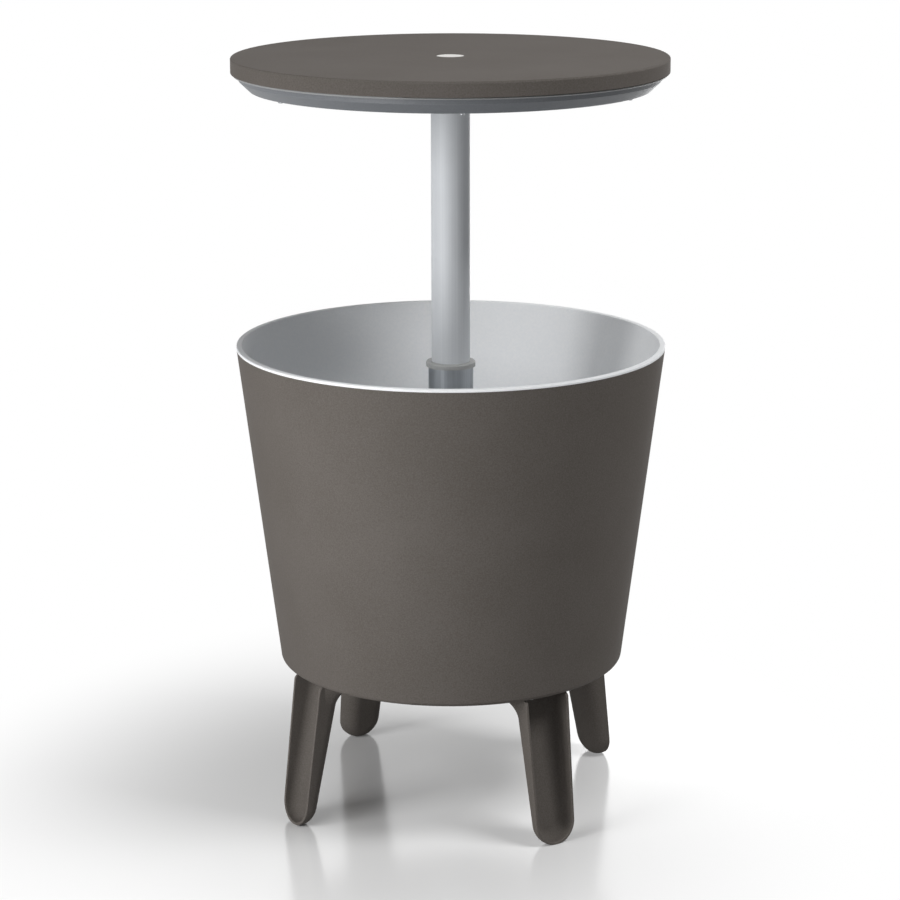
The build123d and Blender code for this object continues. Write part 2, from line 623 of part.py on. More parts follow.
# Brake shoes round the cam, with a groove for the band that draws them in
shoe_r = guide_bore_r - SHOE_CLEARANCE
shoe_low_z = cam_bottom_z + SHOE_END_CLEARANCE
shoe_height = CAM_HEIGHT - 2 * SHOE_END_CLEARANCE
band_z = shoe_low_z + shoe_height / 2
groove_r = shoe_r - BAND_GROOVE_DEPTH
for shoe_name, side in {"brake_shoe_left": -1, "brake_shoe_right": 1}.items():
    with BuildPart() as brake_shoe:
        with BuildSketch(Plane.XY.offset(shoe_low_z)):
            Circle(shoe_r)
            Circle(cam_lobe_r + LOBE_CLEARANCE, mode=Mode.SUBTRACT)
            with Locations((side * (shoe_r + SHOE_SPLIT / 2), 0)):
                Rectangle(2 * shoe_r, 2 * shoe_r, mode=Mode.INTERSECT)
        extrude(amount=shoe_height)
        with BuildSketch(Plane.XY.offset(band_z)):
            Circle(guide_bore_r)
            Circle(groove_r, mode=Mode.SUBTRACT)
        extrude(amount=BAND_SECTION / 2 + BAND_GROOVE_CLEARANCE, both=True, mode=Mode.SUBTRACT)
    write(brake_shoe.part, shoe_name)

# Band in the shoes' groove
with BuildPart() as shoe_band:
    with Locations((0, 0, band_z)):
        Torus(groove_r + BAND_SECTION / 2 + BAND_GROOVE_CLEARANCE, BAND_SECTION / 2)
write(shoe_band.part, "shoe_band")

# Washer and screw that hold the shoes on the cam
with BuildPart() as cam_washer:
    with BuildSketch(Plane.XY.offset(cam_washer_z)):
        Circle(guide_bore_r - CAM_WASHER_CLEARANCE)
        Circle(CAM_SCREW_DIAMETER / 2 + SCREW_CLEARANCE, mode=Mode.SUBTRACT)
    extrude(amount=CAM_WASHER)
write(cam_washer.part, "cam_washer")

cam_screw = pan_head_screws(
    [(0, 0)],
    cam_washer_z,
    CAM_SCREW_DIAMETER / 2,
    CAM_SCREW_HEAD_DIAMETER / 2,
    CAM_SCREW_HEAD,
    CAM_SCREW_LENGTH,
)
write(cam_screw, "cam_screw")

# Plug in the pole's top, which the centre bolt is screwed into
with BuildPart() as pole_top_plug:
    with BuildSketch(Plane.XY.offset(pole_top_z - TOP_PLUG_LENGTH)):
        Circle(pole_bore_r - FIT_CLEARANCE)
        Circle(BOLT_DIAMETER / 2 + FIT_CLEARANCE, mode=Mode.SUBTRACT)
    extrude(amount=TOP_PLUG_LENGTH)
write(pole_top_plug.part, "pole_top_plug")

# Table top: disc with a skirt, ribs, screw bosses and a hub that takes the pole
with BuildPart() as tabletop:
    with BuildSketch(Plane.XY.offset(table_edge_z)):
        Circle(table_r)
    extrude(amount=TABLE_EDGE)
    fillet(tabletop.edges().group_by(Axis.Z)[-1], radius=TABLE_TOP_ROUND)
    fillet(tabletop.edges().group_by(Axis.Z)[0], radius=TABLE_BOTTOM_ROUND)
    with BuildSketch(Plane.XY.offset(table_edge_z)):
        Circle(table_r - TABLE_SKIRT)
    extrude(amount=TABLE_EDGE - TABLE_PLATE, mode=Mode.SUBTRACT)
    with BuildSketch(Plane.XY.offset(table_edge_z)):
        Circle(RIB_RING_DIAMETER / 2 + RIB_WALL / 2)
        Circle(RIB_RING_DIAMETER / 2 - RIB_WALL / 2, mode=Mode.SUBTRACT)
        with PolarLocations(0, RIB_COUNT):
            with Locations((table_r / 2, 0)):
                Rectangle(table_r - TABLE_SKIRT, RIB_WALL)
    extrude(amount=TABLE_EDGE - TABLE_PLATE)
    with BuildSketch(Plane.XY.offset(lid_floor_z)):
        Circle(hub_r)
        with Locations(*lid_screw_places):
            Circle(LID_BOSS_DIAMETER / 2)
    extrude(amount=table_under_z - lid_floor_z)
    with BuildSketch(Plane.XY.offset(lid_floor_z)):
        Circle(pole_r + FIT_CLEARANCE)
    extrude(amount=pole_top_z - lid_floor_z, mode=Mode.SUBTRACT)
    with BuildSketch(Plane.XY.offset(pole_top_z)):
        Circle(BOLT_DIAMETER / 2 + BOLT_CLEARANCE)
    extrude(amount=OPEN_HEIGHT - pole_top_z, mode=Mode.SUBTRACT)
    with BuildSketch(Plane.XY.offset(bolt_seat_z)):
        Circle(WASHER_DIAMETER / 2 + BOLT_CLEARANCE)
    extrude(amount=OPEN_HEIGHT - bolt_seat_z, mode=Mode.SUBTRACT)
    with BuildSketch(Plane.XY.offset(cap_seat_z)):
        Circle(cap_r + CAP_CLEARANCE)
    extrude(amount=OPEN_HEIGHT - cap_seat_z, mode=Mode.SUBTRACT)
    with BuildSketch(Plane.XY.offset(lid_floor_z)):
        with Locations(*lid_screw_places):
            Circle(SCREW_DIAMETER / 2 + FIT_CLEARANCE)
    extrude(amount=SCREW_LENGTH - LID_WALL, mode=Mode.SUBTRACT)
write(tabletop.part, "tabletop")

# Pan under the table top: flange that rests on the tub's rim, shoulder, cone and flat underside
with BuildPart() as lid_pan:
    with BuildSketch(Plane.XZ) as pan_profile:
        with BuildLine():
            Polyline(
                (pole_r + FIT_CLEARANCE, lid_bottom_z),
                (lid_bottom_r, lid_bottom_z),
                (lid_shoulder_low_r, lid_seat_z - LID_SHOULDER),
                (lid_shoulder_r, lid_seat_z),
                (lid_flange_r, lid_seat_z),
                (lid_flange_r, table_edge_z),
                (lid_shoulder_r - LID_WALL, table_edge_z),
                (lid_shoulder_low_r - LID_WALL, lid_seat_z - LID_SHOULDER + LID_WALL / 2),
                (lid_bottom_r - LID_WALL / 2, lid_floor_z),
                (pole_r + FIT_CLEARANCE, lid_floor_z),
                close=True,
            )
        make_face()
        pan_corner = pan_profile.vertices().sort_by_distance((lid_bottom_r, lid_bottom_z))[0]
        fillet(pan_corner, radius=LID_CORNER)
        flange_corners = pan_profile.vertices().group_by(Axis.X)[-1]
        fillet(flange_corners, radius=LID_FLANGE_ROUND)
    revolve(axis=Axis.Z)
    with BuildSketch(Plane.XY.offset(lid_bottom_z)):
        with Locations(*lid_screw_places):
            Circle(SCREW_DIAMETER / 2 + SCREW_CLEARANCE)
    extrude(amount=LID_WALL, mode=Mode.SUBTRACT)
write(lid_pan.part, "lid_pan")

lid_screws = pan_head_screws(
    lid_screw_places,
    lid_bottom_z,
    SCREW_DIAMETER / 2,
    SCREW_HEAD_DIAMETER / 2,
    SCREW_HEAD,
    SCREW_LENGTH,
)
write(lid_screws, "lid_screws")

# Centre bolt with its washer, under the cap
with BuildPart() as centre_washer:
    with BuildSketch(Plane.XY.offset(bolt_seat_z)):
        Circle(WASHER_DIAMETER / 2)
        Circle(BOLT_DIAMETER / 2 + BOLT_CLEARANCE, mode=Mode.SUBTRACT)
    extrude(amount=WASHER_THICKNESS)
write(centre_washer.part, "centre_washer")

with BuildPart() as centre_bolt:
    with BuildSketch(Plane.XY.offset(bolt_seat_z + WASHER_THICKNESS)):
        RegularPolygon(BOLT_HEAD_ACROSS_CORNERS / 2, BOLT_HEAD_SIDES)
    extrude(amount=BOLT_HEAD)
    with BuildSketch(Plane.XY.offset(bolt_seat_z + WASHER_THICKNESS)):
        Circle(BOLT_DIAMETER / 2)
    extrude(amount=-BOLT_LENGTH)
write(centre_bolt.part, "centre_bolt")

# Cap that hides the bolt
with BuildPart() as centre_cap:
    with BuildSketch(Plane.XY.offset(cap_seat_z)):
        Circle(cap_r)
    extrude(amount=CAP_THICKNESS)
    fillet(centre_cap.edges().group_by(Axis.Z)[-1], radius=CAP_ROUND)
write(centre_cap.part, "centre_cap")

# Drain: flanged spout through both floors with its gasket and nut
with BuildPart() as drain_spout:
    with BuildSketch(Plane.XY.offset(drain_flange_z)):
        with Locations(drain_place):
            Circle(drain_flange_r)
    extrude(amount=DRAIN_FLANGE)
    with BuildSketch(Plane.XY.offset(drain_bottom_z)):
        with Locations(drain_place):
            Circle(drain_r)
    extrude(amount=drain_flange_z - drain_bottom_z)
    with BuildSketch(Plane.XY.offset(drain_bottom_z)):
        with Locations(drain_place):
            Circle(drain_bore_r)
    extrude(amount=drain_flange_z + DRAIN_FLANGE - drain_bottom_z, mode=Mode.SUBTRACT)
write(drain_spout.part, "drain_spout")

with BuildPart() as drain_gasket:
    with BuildSketch(Plane.XY.offset(sump_z)):
        with Locations(drain_place):
            Circle(drain_r + HOLE_CLEARANCE + DRAIN_GASKET_WIDTH)
            Circle(drain_r + HOLE_CLEARANCE, mode=Mode.SUBTRACT)
    extrude(amount=DRAIN_GASKET)
write(drain_gasket.part, "drain_gasket")

with BuildPart() as drain_nut:
    with BuildSketch(Plane.XY.offset(TUB_FLOOR_HEIGHT - DRAIN_NUT_HEIGHT)):
        with Locations(drain_place):
            RegularPolygon(DRAIN_NUT_DIAMETER / 2, DRAIN_NUT_SIDES)
    extrude(amount=DRAIN_NUT_HEIGHT)
    chamfer(drain_nut.edges().group_by(Axis.Z)[0], length=NUT_CHAMFER)
    with BuildSketch(Plane.XY.offset(TUB_FLOOR_HEIGHT - DRAIN_NUT_HEIGHT)):
        with Locations(drain_place):
            Circle(drain_r + FIT_CLEARANCE)
    extrude(amount=DRAIN_NUT_HEIGHT, mode=Mode.SUBTRACT)
write(drain_nut.part, "drain_nut")

# Drain plug: pushed up into the spout from below, with a grip bar to pull it out and a sealing ring
plug_ring_z = plug_head_z + PLUG_STEM_LENGTH - PLUG_RING_INSET
plug_ring_r = drain_bore_r - PLUG_RING_CLEARANCE - PLUG_RING_SECTION / 2
with BuildPart() as drain_plug:
    with BuildSketch(Plane.XY.offset(plug_head_z)):
        with Locations(drain_place):
            Circle(plug_stem_r)
    extrude(amount=PLUG_STEM_LENGTH)
    with BuildSketch(Plane.XY.offset(plug_head_z)):
        with Locations(drain_place):
            Circle(PLUG_HEAD_DIAMETER / 2)
    extrude(amount=-PLUG_HEAD)
    fillet(drain_plug.edges().group_by(Axis.Z)[0], radius=PLUG_HEAD_ROUND)
    with BuildSketch(Plane.XY.offset(plug_head_z - PLUG_HEAD)):
        with Locations(drain_place):
            Rectangle(PLUG_GRIP_WIDTH, PLUG_GRIP_THICKNESS)
    extrude(amount=-PLUG_GRIP_HEIGHT)
    fillet(drain_plug.edges().group_by(Axis.Z)[0], radius=PLUG_GRIP_ROUND)
    with BuildSketch(Plane.XY.offset(plug_ring_z)):
        with Locations(drain_place):
            Circle(drain_bore_r)
            Circle(plug_ring_r - PLUG_RING_SECTION / 2, mode=Mode.SUBTRACT)
    extrude(amount=PLUG_RING_SECTION / 2 + BAND_GROOVE_CLEARANCE, both=True, mode=Mode.SUBTRACT)
write(drain_plug.part, "drain_plug")

with BuildPart() as drain_plug_ring:
    with Locations((0, drain_offset, plug_ring_z)):
        Torus(plug_ring_r, PLUG_RING_SECTION / 2)
write(drain_plug_ring.part, "drain_plug_ring")
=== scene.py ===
"""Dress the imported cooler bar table, stand it on a pale studio floor and set the photograph's camera."""

import logging
import math
from collections.abc import Callable
from dataclasses import dataclass, field
from enum import Enum
from functools import partial

import bmesh
import bpy
from mathutils import Euler, Matrix, Vector


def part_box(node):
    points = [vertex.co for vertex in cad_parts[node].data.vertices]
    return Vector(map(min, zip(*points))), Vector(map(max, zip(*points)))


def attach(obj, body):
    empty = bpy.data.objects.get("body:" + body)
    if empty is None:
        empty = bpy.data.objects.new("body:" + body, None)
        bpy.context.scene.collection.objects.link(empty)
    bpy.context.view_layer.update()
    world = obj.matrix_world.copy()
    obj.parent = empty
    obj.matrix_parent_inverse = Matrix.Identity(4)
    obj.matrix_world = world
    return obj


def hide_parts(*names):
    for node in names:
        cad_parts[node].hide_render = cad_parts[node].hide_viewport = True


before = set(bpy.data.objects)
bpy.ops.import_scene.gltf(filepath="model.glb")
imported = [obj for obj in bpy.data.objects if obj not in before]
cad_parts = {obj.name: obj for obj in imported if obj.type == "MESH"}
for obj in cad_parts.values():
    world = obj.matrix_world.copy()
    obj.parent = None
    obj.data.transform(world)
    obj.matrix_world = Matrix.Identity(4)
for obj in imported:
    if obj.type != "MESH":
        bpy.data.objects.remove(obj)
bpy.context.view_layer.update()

LOG = logging.getLogger("cooler_table")
MM = 0.001
WELD = 0.001 * MM  # points this close are one point
SHARP_ANGLE = math.radians(35)
FULL_SPAN = (0.0, 1.0)
NOISE_SPAN = (0.3, 0.7)  # where most of a noise's values lie
MOTTLE_SPAN = (0.35, 0.65)  # the same for two noises blended
NodeValue = float | int | bool | str | tuple[float, ...] | Vector
Radius = Callable[[float], float]


class Body(Enum):
    """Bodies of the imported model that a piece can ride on."""

    TUB = "tub"
    CARRIAGE = "lock_carriage"
    TABLE = "table"
    PLUG = "drain_plug"


class MouldFace(Enum):
    """How the face of the mould was finished, which the plastic copies: relief in millimetres."""

    SPARK_ERODED = 0.16
    SATIN = 0.05
    POLISHED = 0.02


def linear(hex_colour: str) -> tuple[float, float, float, float]:
    """Turn an sRGB hex colour into linear light.

    Args:
        hex_colour: a hash sign and six hex digits.

    Returns:
        Linear red, green and blue, and an alpha of 1.
    """
    shares = [int(hex_colour[i : i + 2], 16) / 255 for i in (1, 3, 5)]
    red, green, blue = (s / 12.92 if s <= 0.04045 else ((s + 0.055) / 1.055) ** 2.4 for s in shares)
    return red, green, blue, 1.0


def add_node(
    tree: bpy.types.NodeTree,
    kind: str,
    settings: dict[str | int, NodeValue] | None = None,
    links: dict[str | int, bpy.types.NodeSocket] | None = None,
) -> bpy.types.Node:
    """Add one shader node with its settings and links.

    Args:
        tree: the node tree of a material or of the world.
        kind: Blender's name for the type of node.
        settings: values by the name of a property, or by the name or number of an input.
        links: the sockets that feed this node, by the name or number of the input.

    Returns:
        The new node.
    """
    node = tree.nodes.new(kind)
    for name, value in (settings or {}).items():
        if isinstance(name, str) and hasattr(node, name):
            setattr(node, name, value)
        else:
            node.inputs[name].default_value = value
    for name, socket in (links or {}).items():
        tree.links.new(socket, node.inputs[name])
    return node


def remap(
    tree: bpy.types.NodeTree,
    value: bpy.types.NodeSocket,
    span: tuple[float, float],
    to: tuple[float, float] = FULL_SPAN,
) -> bpy.types.NodeSocket:
    """Stretch a value from one span to another.

    Args:
        tree: the material's node tree.
        value: the value to stretch.
        span: the span that it comes from.
        to: the span that it goes to.

    Returns:
        The stretched value.
    """
    settings = {"From Min": span[0], "From Max": span[1], "To Min": to[0], "To Max": to[1]}
    return add_node(tree, "ShaderNodeMapRange", settings, {"Value": value}).outputs["Result"]


@dataclass(frozen=True)
class Finish:
    """What all finishes share: a name, two close tones and a middle roughness."""

    name: str
    pale: str
    deep: str
    roughness: float

    def material(self) -> bpy.types.Material:
        """Return this finish's material, which is made when it is first asked for."""
        made = bpy.data.materials.get(self.name)
        if made is None:
            made = bpy.data.materials.new(self.name)
            made.use_nodes = True
            made.node_tree.nodes.clear()
            self.fill(made.node_tree)
        return made

    def fill(self, tree: bpy.types.NodeTree) -> None:
        """Put the finish's nodes in an empty tree.

        Args:
            tree: the material's node tree.
        """
        raise NotImplementedError

    def tones(self, tree: bpy.types.NodeTree, share: bpy.types.NodeSocket) -> bpy.types.NodeSocket:
        """Blend the finish's two tones.

        Args:
            tree: the material's node tree.
            share: how much of the pale tone there is, from 0 to 1.

        Returns:
            The blended colour.
        """
        settings = {"data_type": "RGBA", 6: linear(self.deep), 7: linear(self.pale)}
        return add_node(tree, "ShaderNodeMix", settings, {0: share}).outputs[2]


@dataclass(frozen=True)
class MouldedPlastic(Finish):
    """Injection-moulded plastic that copies the face of its mould.

    A sandy grain breaks up the gloss, the colour drifts a little over a hand's width, and edges are
    painted paler: partly wear, partly a painted highlight where edges catch the light.
    """

    face: MouldFace
    grain_mm: float
    drift_mm: float = 90.0
    drift_share: float = 0.25
    worn_and_highlit: str = "#8d8782"
    wear_and_highlight: float = 0.3
    wear_and_highlight_mm: float = 1.6
    wear_and_highlight_samples: int = 6
    edge_span: tuple[float, float] = (0.99, 0.75)
    specular: float = 0.5
    gloss_spread: float = 0.06
    relief_strength: float = 0.5
    ior: float = 1.49

    def fill(self, tree: bpy.types.NodeTree) -> None:
        """Put the plastic's nodes in an empty tree.

        Args:
            tree: the material's node tree.
        """
        place = add_node(tree, "ShaderNodeTexCoord").outputs["Object"]
        grain = add_node(
            tree, "ShaderNodeTexNoise", {"Scale": 1 / (self.grain_mm * MM), "Detail": 2.0}, {"Vector": place}
        ).outputs["Fac"]
        drift = add_node(
            tree, "ShaderNodeTexNoise", {"Scale": 1 / (self.drift_mm * MM), "Detail": 3.0}, {"Vector": place}
        ).outputs["Fac"]
        mottle = add_node(tree, "ShaderNodeMix", {0: self.drift_share}, {2: grain, 3: drift}).outputs[0]
        colour = self.tones(tree, remap(tree, mottle, MOTTLE_SPAN))
        colour = self.wear_and_highlight_edges(tree, colour)
        smooth, rough = self.roughness - self.gloss_spread, self.roughness + self.gloss_spread
        gloss = remap(tree, grain, NOISE_SPAN, (smooth, rough))
        settings = {"Strength": self.relief_strength, "Distance": self.face.value * MM}
        relief = add_node(tree, "ShaderNodeBump", settings, {"Height": grain}).outputs["Normal"]
        shader = add_node(
            tree,
            "ShaderNodeBsdfPrincipled",
            {"IOR": self.ior, "Specular IOR Level": self.specular},
            {"Base Color": colour, "Roughness": gloss, "Normal": relief},
        )
        add_node(tree, "ShaderNodeOutputMaterial", links={"Surface": shader.outputs[0]})

    def wear_and_highlight_edges(self, tree: bpy.types.NodeTree, colour: bpy.types.NodeSocket) -> bpy.types.NodeSocket:
        """Make the colour paler along edges: partly wear, partly a painted highlight where edges catch light.

        Args:
            tree: the material's node tree.
            colour: the colour away from the edges.

        Returns:
            The colour with paler edges.
        """
        true_way = add_node(tree, "ShaderNodeNewGeometry").outputs["Normal"]
        settings = {"samples": self.wear_and_highlight_samples, "Radius": self.wear_and_highlight_mm * MM}
        soft_way = add_node(tree, "ShaderNodeBevel", settings).outputs["Normal"]
        same = add_node(
            tree, "ShaderNodeVectorMath", {"operation": "DOT_PRODUCT"}, {0: true_way, 1: soft_way}
        ).outputs["Value"]
        # paler edges: partly wear, partly a painted highlight where the softened normal parts from the true
        # one
        edge = remap(tree, same, self.edge_span, (0.0, self.wear_and_highlight))
        settings = {"data_type": "RGBA", 7: linear(self.worn_and_highlit)}
        return add_node(tree, "ShaderNodeMix", settings, {0: edge, 6: colour}).outputs[2]


@dataclass(frozen=True)
class FlangeHighlitPlastic(MouldedPlastic):
    """Moulded plastic with a painted highlight: a pale band all along its flange, which rests on a rim."""

    flange_level: float = 0.0
    flange_highlight: float = 0.4
    fade_mm: float = 0.4

    def wear_and_highlight_edges(self, tree: bpy.types.NodeTree, colour: bpy.types.NodeSocket) -> bpy.types.NodeSocket:
        """Make the colour paler along edges and paint a highlight on the flange.

        Args:
            tree: the material's node tree.
            colour: the colour away from edges and flange.

        Returns:
            The colour with paler edges and flange.
        """
        colour = super().wear_and_highlight_edges(tree, colour)
        place = add_node(tree, "ShaderNodeTexCoord").outputs["Object"]
        height = add_node(tree, "ShaderNodeSeparateXYZ", links={0: place}).outputs["Z"]
        # painted highlight: a pale band over the top of the flange
        low = self.flange_level - self.fade_mm * MM
        band = remap(tree, height, (low, self.flange_level), (0.0, self.flange_highlight))
        settings = {"data_type": "RGBA", 7: linear(self.worn_and_highlit)}
        return add_node(tree, "ShaderNodeMix", settings, {0: band, 6: colour}).outputs[2]


@dataclass(frozen=True)
class DrawnMetal(Finish):
    """Drawn metal tube: fine lines along its length give the sheen long streaks."""

    line_mm: float
    length_mm: float = 400.0
    spread: float = 0.07
    metallic: float = 1.0
    specular: float = 0.5
    relief_mm: float = 0.02
    relief_strength: float = 0.2

    def fill(self, tree: bpy.types.NodeTree) -> None:
        """Put the metal's nodes in an empty tree.

        Args:
            tree: the material's node tree.
        """
        place = add_node(tree, "ShaderNodeTexCoord").outputs["Object"]
        across, along = 1 / (self.line_mm * MM), 1 / (self.length_mm * MM)
        stretched = add_node(tree, "ShaderNodeMapping", {"Scale": (across, across, along)}, {"Vector": place})
        line = add_node(
            tree, "ShaderNodeTexNoise", {"Scale": 1.0, "Detail": 3.0}, {"Vector": stretched.outputs["Vector"]}
        ).outputs["Fac"]
        share = remap(tree, line, NOISE_SPAN)
        gloss = remap(tree, share, FULL_SPAN, (self.roughness - self.spread, self.roughness + self.spread))
        settings = {"Strength": self.relief_strength, "Distance": self.relief_mm * MM}
        relief = add_node(tree, "ShaderNodeBump", settings, {"Height": line}).outputs["Normal"]
        shader = add_node(
            tree,
            "ShaderNodeBsdfPrincipled",
            {"Metallic": self.metallic, "Specular IOR Level": self.specular},
            {"Base Color": self.tones(tree, share), "Roughness": gloss, "Normal": relief},
        )
        add_node(tree, "ShaderNodeOutputMaterial", links={"Surface": shader.outputs[0]})


# Polypropylene, moulded in a spark-eroded tool: dull, with a sandy speckle and no clear highlight. The real
# grain is about 0.5 mm and is drawn at 1.5 mm, because a finer one would not show.
TAUPE_POLYPROPYLENE = MouldedPlastic(
    "polypropylene_taupe_spark_eroded",
    "#68635f",
    "#5c5752",
    0.74,
    MouldFace.SPARK_ERODED,
    1.5,
    # paler edges: partly wear, partly a painted highlight along the table top's edge and the legs' lips
    wear_and_highlight=0.35,
    wear_and_highlight_mm=2.4,
    specular=0.12,
)
# Polyethylene, moulded in a polished tool and gone dull in use: pale and cool, with a broad soft sheen on the
# tub's inside.
PALE_POLYETHYLENE = MouldedPlastic(
    "polyethylene_pale_polished", "#f4f5f6", "#eff1f3", 0.6, MouldFace.POLISHED, 3.0, worn_and_highlit="#f6f7f8"
)
# ABS, moulded in a satin tool: a cool grey with a low even sheen. A painted highlight pales a band as tall as
# the constant below along the flange that rests on the tub's rim; the edges are paler too, partly wear,
# partly a painted highlight.
FLANGE_HIGHLIGHT_BAND = 2.5 * MM
GREY_ABS = FlangeHighlitPlastic(
    "abs_cool_grey_satin",
    "#727579",
    "#6b6e72",
    0.46,
    MouldFace.SATIN,
    2.0,
    worn_and_highlit="#b9bab9",
    wear_and_highlight=0.5,
    specular=0.3,
    flange_level=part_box("lid_pan")[1].z - FLANGE_HIGHLIGHT_BAND,
)
# Polypropylene, moulded in a polished tool: the small ivory cap, clean and slightly glossy.
IVORY_POLYPROPYLENE = MouldedPlastic(
    "polypropylene_ivory_polished", "#f1eeea", "#ebe8e3", 0.35, MouldFace.POLISHED, 2.0, worn_and_highlit="#f6f4f1"
)
# Acetal, moulded: the bushes, nuts and fittings, off-white grey with a waxy sheen.
GREY_ACETAL = MouldedPlastic(
    "acetal_grey_satin", "#a9aaa9", "#a0a1a0", 0.42, MouldFace.SATIN, 2.0, worn_and_highlit="#bcbcba"
)
# EPDM rubber, moulded: near black, dull, with paler edges, partly a dusty bloom and partly a painted
# highlight.
SEAL_RUBBER = MouldedPlastic(
    "epdm_rubber_moulded", "#34353a", "#2b2c30", 0.74, MouldFace.SATIN, 1.2, worn_and_highlit="#55565a", specular=0.35
)
# Aluminium tube, powder coated in silver grey: the coat scatters light as paint does, with faint long streaks
# of the draw lines under it. They are about 0.3 mm wide and are drawn at 0.9 mm, because finer ones would not
# show.
POLE_ALUMINIUM = DrawnMetal(
    "aluminium_powder_coated", "#d4d7da", "#cccfd3", 0.5, 0.9, metallic=0.05, specular=0.3
)
# Aluminium, extruded and left bare: a little darker and clearer than the pole, with coarser die lines.
GUIDE_ALUMINIUM = DrawnMetal("aluminium_extruded", "#b9bdc1", "#a8acb1", 0.36, 1.6)
# Steel, zinc plated: bright and cool, with a faint mottle from the plating bath.
SCREW_STEEL = DrawnMetal("steel_zinc_plated", "#9a9c9e", "#87898c", 0.34, 0.8, length_mm=0.8)


def dress_nodes(finishes: dict[str, Finish]) -> None:
    """Give CAD nodes their finishes.

    Args:
        finishes: finish by the name of the node.
    """
    for name, finish in finishes.items():
        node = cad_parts[name]
        node.data.materials.clear()
        node.data.materials.append(finish.material())
        LOG.info("dressed %s in %s", name, finish.name)


def solid_boxes(node: str) -> list[tuple[Vector, Vector]]:
    """Find the box of each loose solid in a CAD node.

    Args:
        node: the name of the node.

    Returns:
        The lowest and highest corner of each solid.
    """
    mesh = bmesh.new()
    mesh.from_mesh(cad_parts[node].data)
    bmesh.ops.remove_doubles(mesh, verts=mesh.verts, dist=WELD)
    boxes = []
    left = set(mesh.verts)
    while left:
        solid, edge = set(), [left.pop()]
        while edge:
            point = edge.pop()
            solid.add(point)
            near = {e.other_vert(point) for e in point.link_edges} & left
            left -= near
            edge.extend(near)
        spread = list(zip(*(p.co for p in solid)))
        boxes.append((Vector(map(min, spread)), Vector(map(max, spread))))
    mesh.free()
    return boxes


def add_rings(
    mesh: bmesh.types.BMesh, centre: Vector, rings: list[tuple[Radius, float]], points: int
) -> None:
    """Add a closed form made of level rings round an upright axis.

    Args:
        mesh: the mesh that takes the form.
        centre: a point on the axis; the rings' heights are measured from it.
        rings: for each ring its radius by angle, and its height.
        points: how many points each ring has.
    """
    turns = [2 * math.pi * i / points for i in range(points)]
    loops = [
        [mesh.verts.new(centre + Vector((r(t) * math.cos(t), r(t) * math.sin(t), z))) for t in turns]
        for r, z in rings
    ]
    for low, high in zip(loops, loops[1:]):
        for i in range(points):
            j = (i + 1) % points
            mesh.faces.new((low[i], low[j], high[j], high[i]))
    mesh.faces.new(loops[0])
    mesh.faces.new(loops[-1])


def mesh_piece(name: str, mesh: bmesh.types.BMesh, finish: Finish, body: Body) -> bpy.types.Object:
    """Turn a finished mesh into a piece that rides on a body.

    Args:
        name: the piece's name.
        mesh: its form, which is used up.
        finish: its finish.
        body: the body it moves with.

    Returns:
        The new piece.
    """
    bmesh.ops.recalc_face_normals(mesh, faces=mesh.faces)
    data = bpy.data.meshes.new(name)
    mesh.to_mesh(data)
    mesh.free()
    data.shade_smooth()
    data.set_sharp_from_angle(angle=SHARP_ANGLE)
    data.materials.append(finish.material())
    piece = bpy.data.objects.new(name, data)
    bpy.context.scene.collection.objects.link(piece)
    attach(piece, body.value)
    LOG.info("made %s on %s", name, body.value)
    return piece


@dataclass
class CrossScrews:
    """Pan-head tapping screws with a cross recess, driven upwards, in place of plain ones."""

    node: str
    body: Body
    head: float
    points: int = 64
    shank_share: float = 0.53
    head_outline: tuple[tuple[float, float], ...] = ((1.0, 1.0), (1.0, 0.5), (0.94, 0.22), (0.78, 0.06))
    recess: tuple[tuple[float, float], ...] = ((0.62, 0.0), (0.34, 0.62))
    arm_share: float = 0.28

    def build(self) -> None:
        """Make the screws where the CAD has them."""
        mesh = bmesh.new()
        for low, high in solid_boxes(self.node):
            self.add_screw(mesh, low, high)
        piece = mesh_piece(f"{self.node}_crossed", mesh, SCREW_STEEL, self.body)
        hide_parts(self.node)

    def add_screw(self, mesh: bmesh.types.BMesh, low: Vector, high: Vector) -> None:
        """Add one screw to a mesh.

        Args:
            mesh: the mesh that takes the screw.
            low: the lowest corner of its box.
            high: the highest corner of its box.
        """
        head_r = (high.x - low.x) / 2
        shank_r = head_r * self.shank_share
        foot = Vector(((low.x + high.x) / 2, (low.y + high.y) / 2, low.z))
        outline = [(shank_r, high.z - low.z), (shank_r, self.head)]
        outline += [(head_r * r, self.head * z) for r, z in self.head_outline]
        rings: list[tuple[Radius, float]] = [(lambda t, r=r: r, z) for r, z in outline]
        rings += [(partial(self.cross, reach=head_r * r), self.head * z) for r, z in self.recess]
        add_rings(mesh, foot, rings, self.points)

    def cross(self, turn: float, reach: float) -> float:
        """Return how far a cross reaches from its middle.

        Args:
            turn: the angle, in radians.
            reach: the length of each arm from the middle.

        Returns:
            The distance from the middle to the cross's outline.
        """
        off_arm = (turn + math.pi / 4) % (math.pi / 2) - math.pi / 4
        half_width = reach * self.arm_share
        return min(reach / math.cos(off_arm), half_width / max(abs(math.sin(off_arm)), 1e-6))


